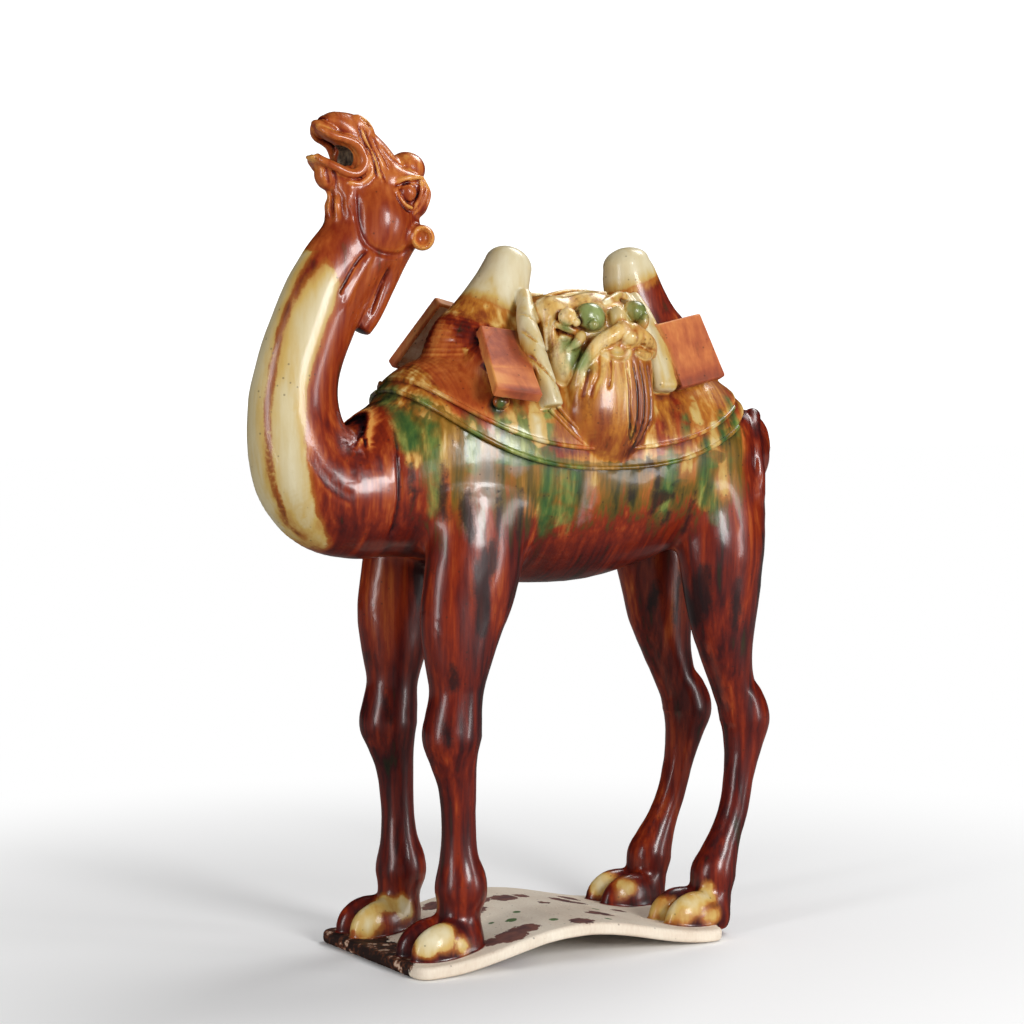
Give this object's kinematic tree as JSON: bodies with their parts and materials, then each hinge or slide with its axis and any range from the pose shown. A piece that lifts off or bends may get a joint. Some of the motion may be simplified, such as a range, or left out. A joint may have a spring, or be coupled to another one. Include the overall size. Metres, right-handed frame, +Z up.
{
  "type": "glazed earthenware camel figure",
  "caption": "Standing two-humped pack camel in three-colour glazed earthenware, head raised with mouth open, on an arched base plate.",
  "frame": {"origin": "on the ground, under the middle of the figure's outline seen from above", "axes": "+Z up, head towards -X, the animal's left side towards -Y"},
  "size_m": [0.6204, 0.2484, 0.8394],
  "materials": {
    "lead_glaze": "runny gloss lead glaze in amber, green and cream over pale earthenware, bare on the base plate"
  },
  "bodies": {
    "root": {"camel_figure": "lead_glaze"}
  },
  "joints": []
}
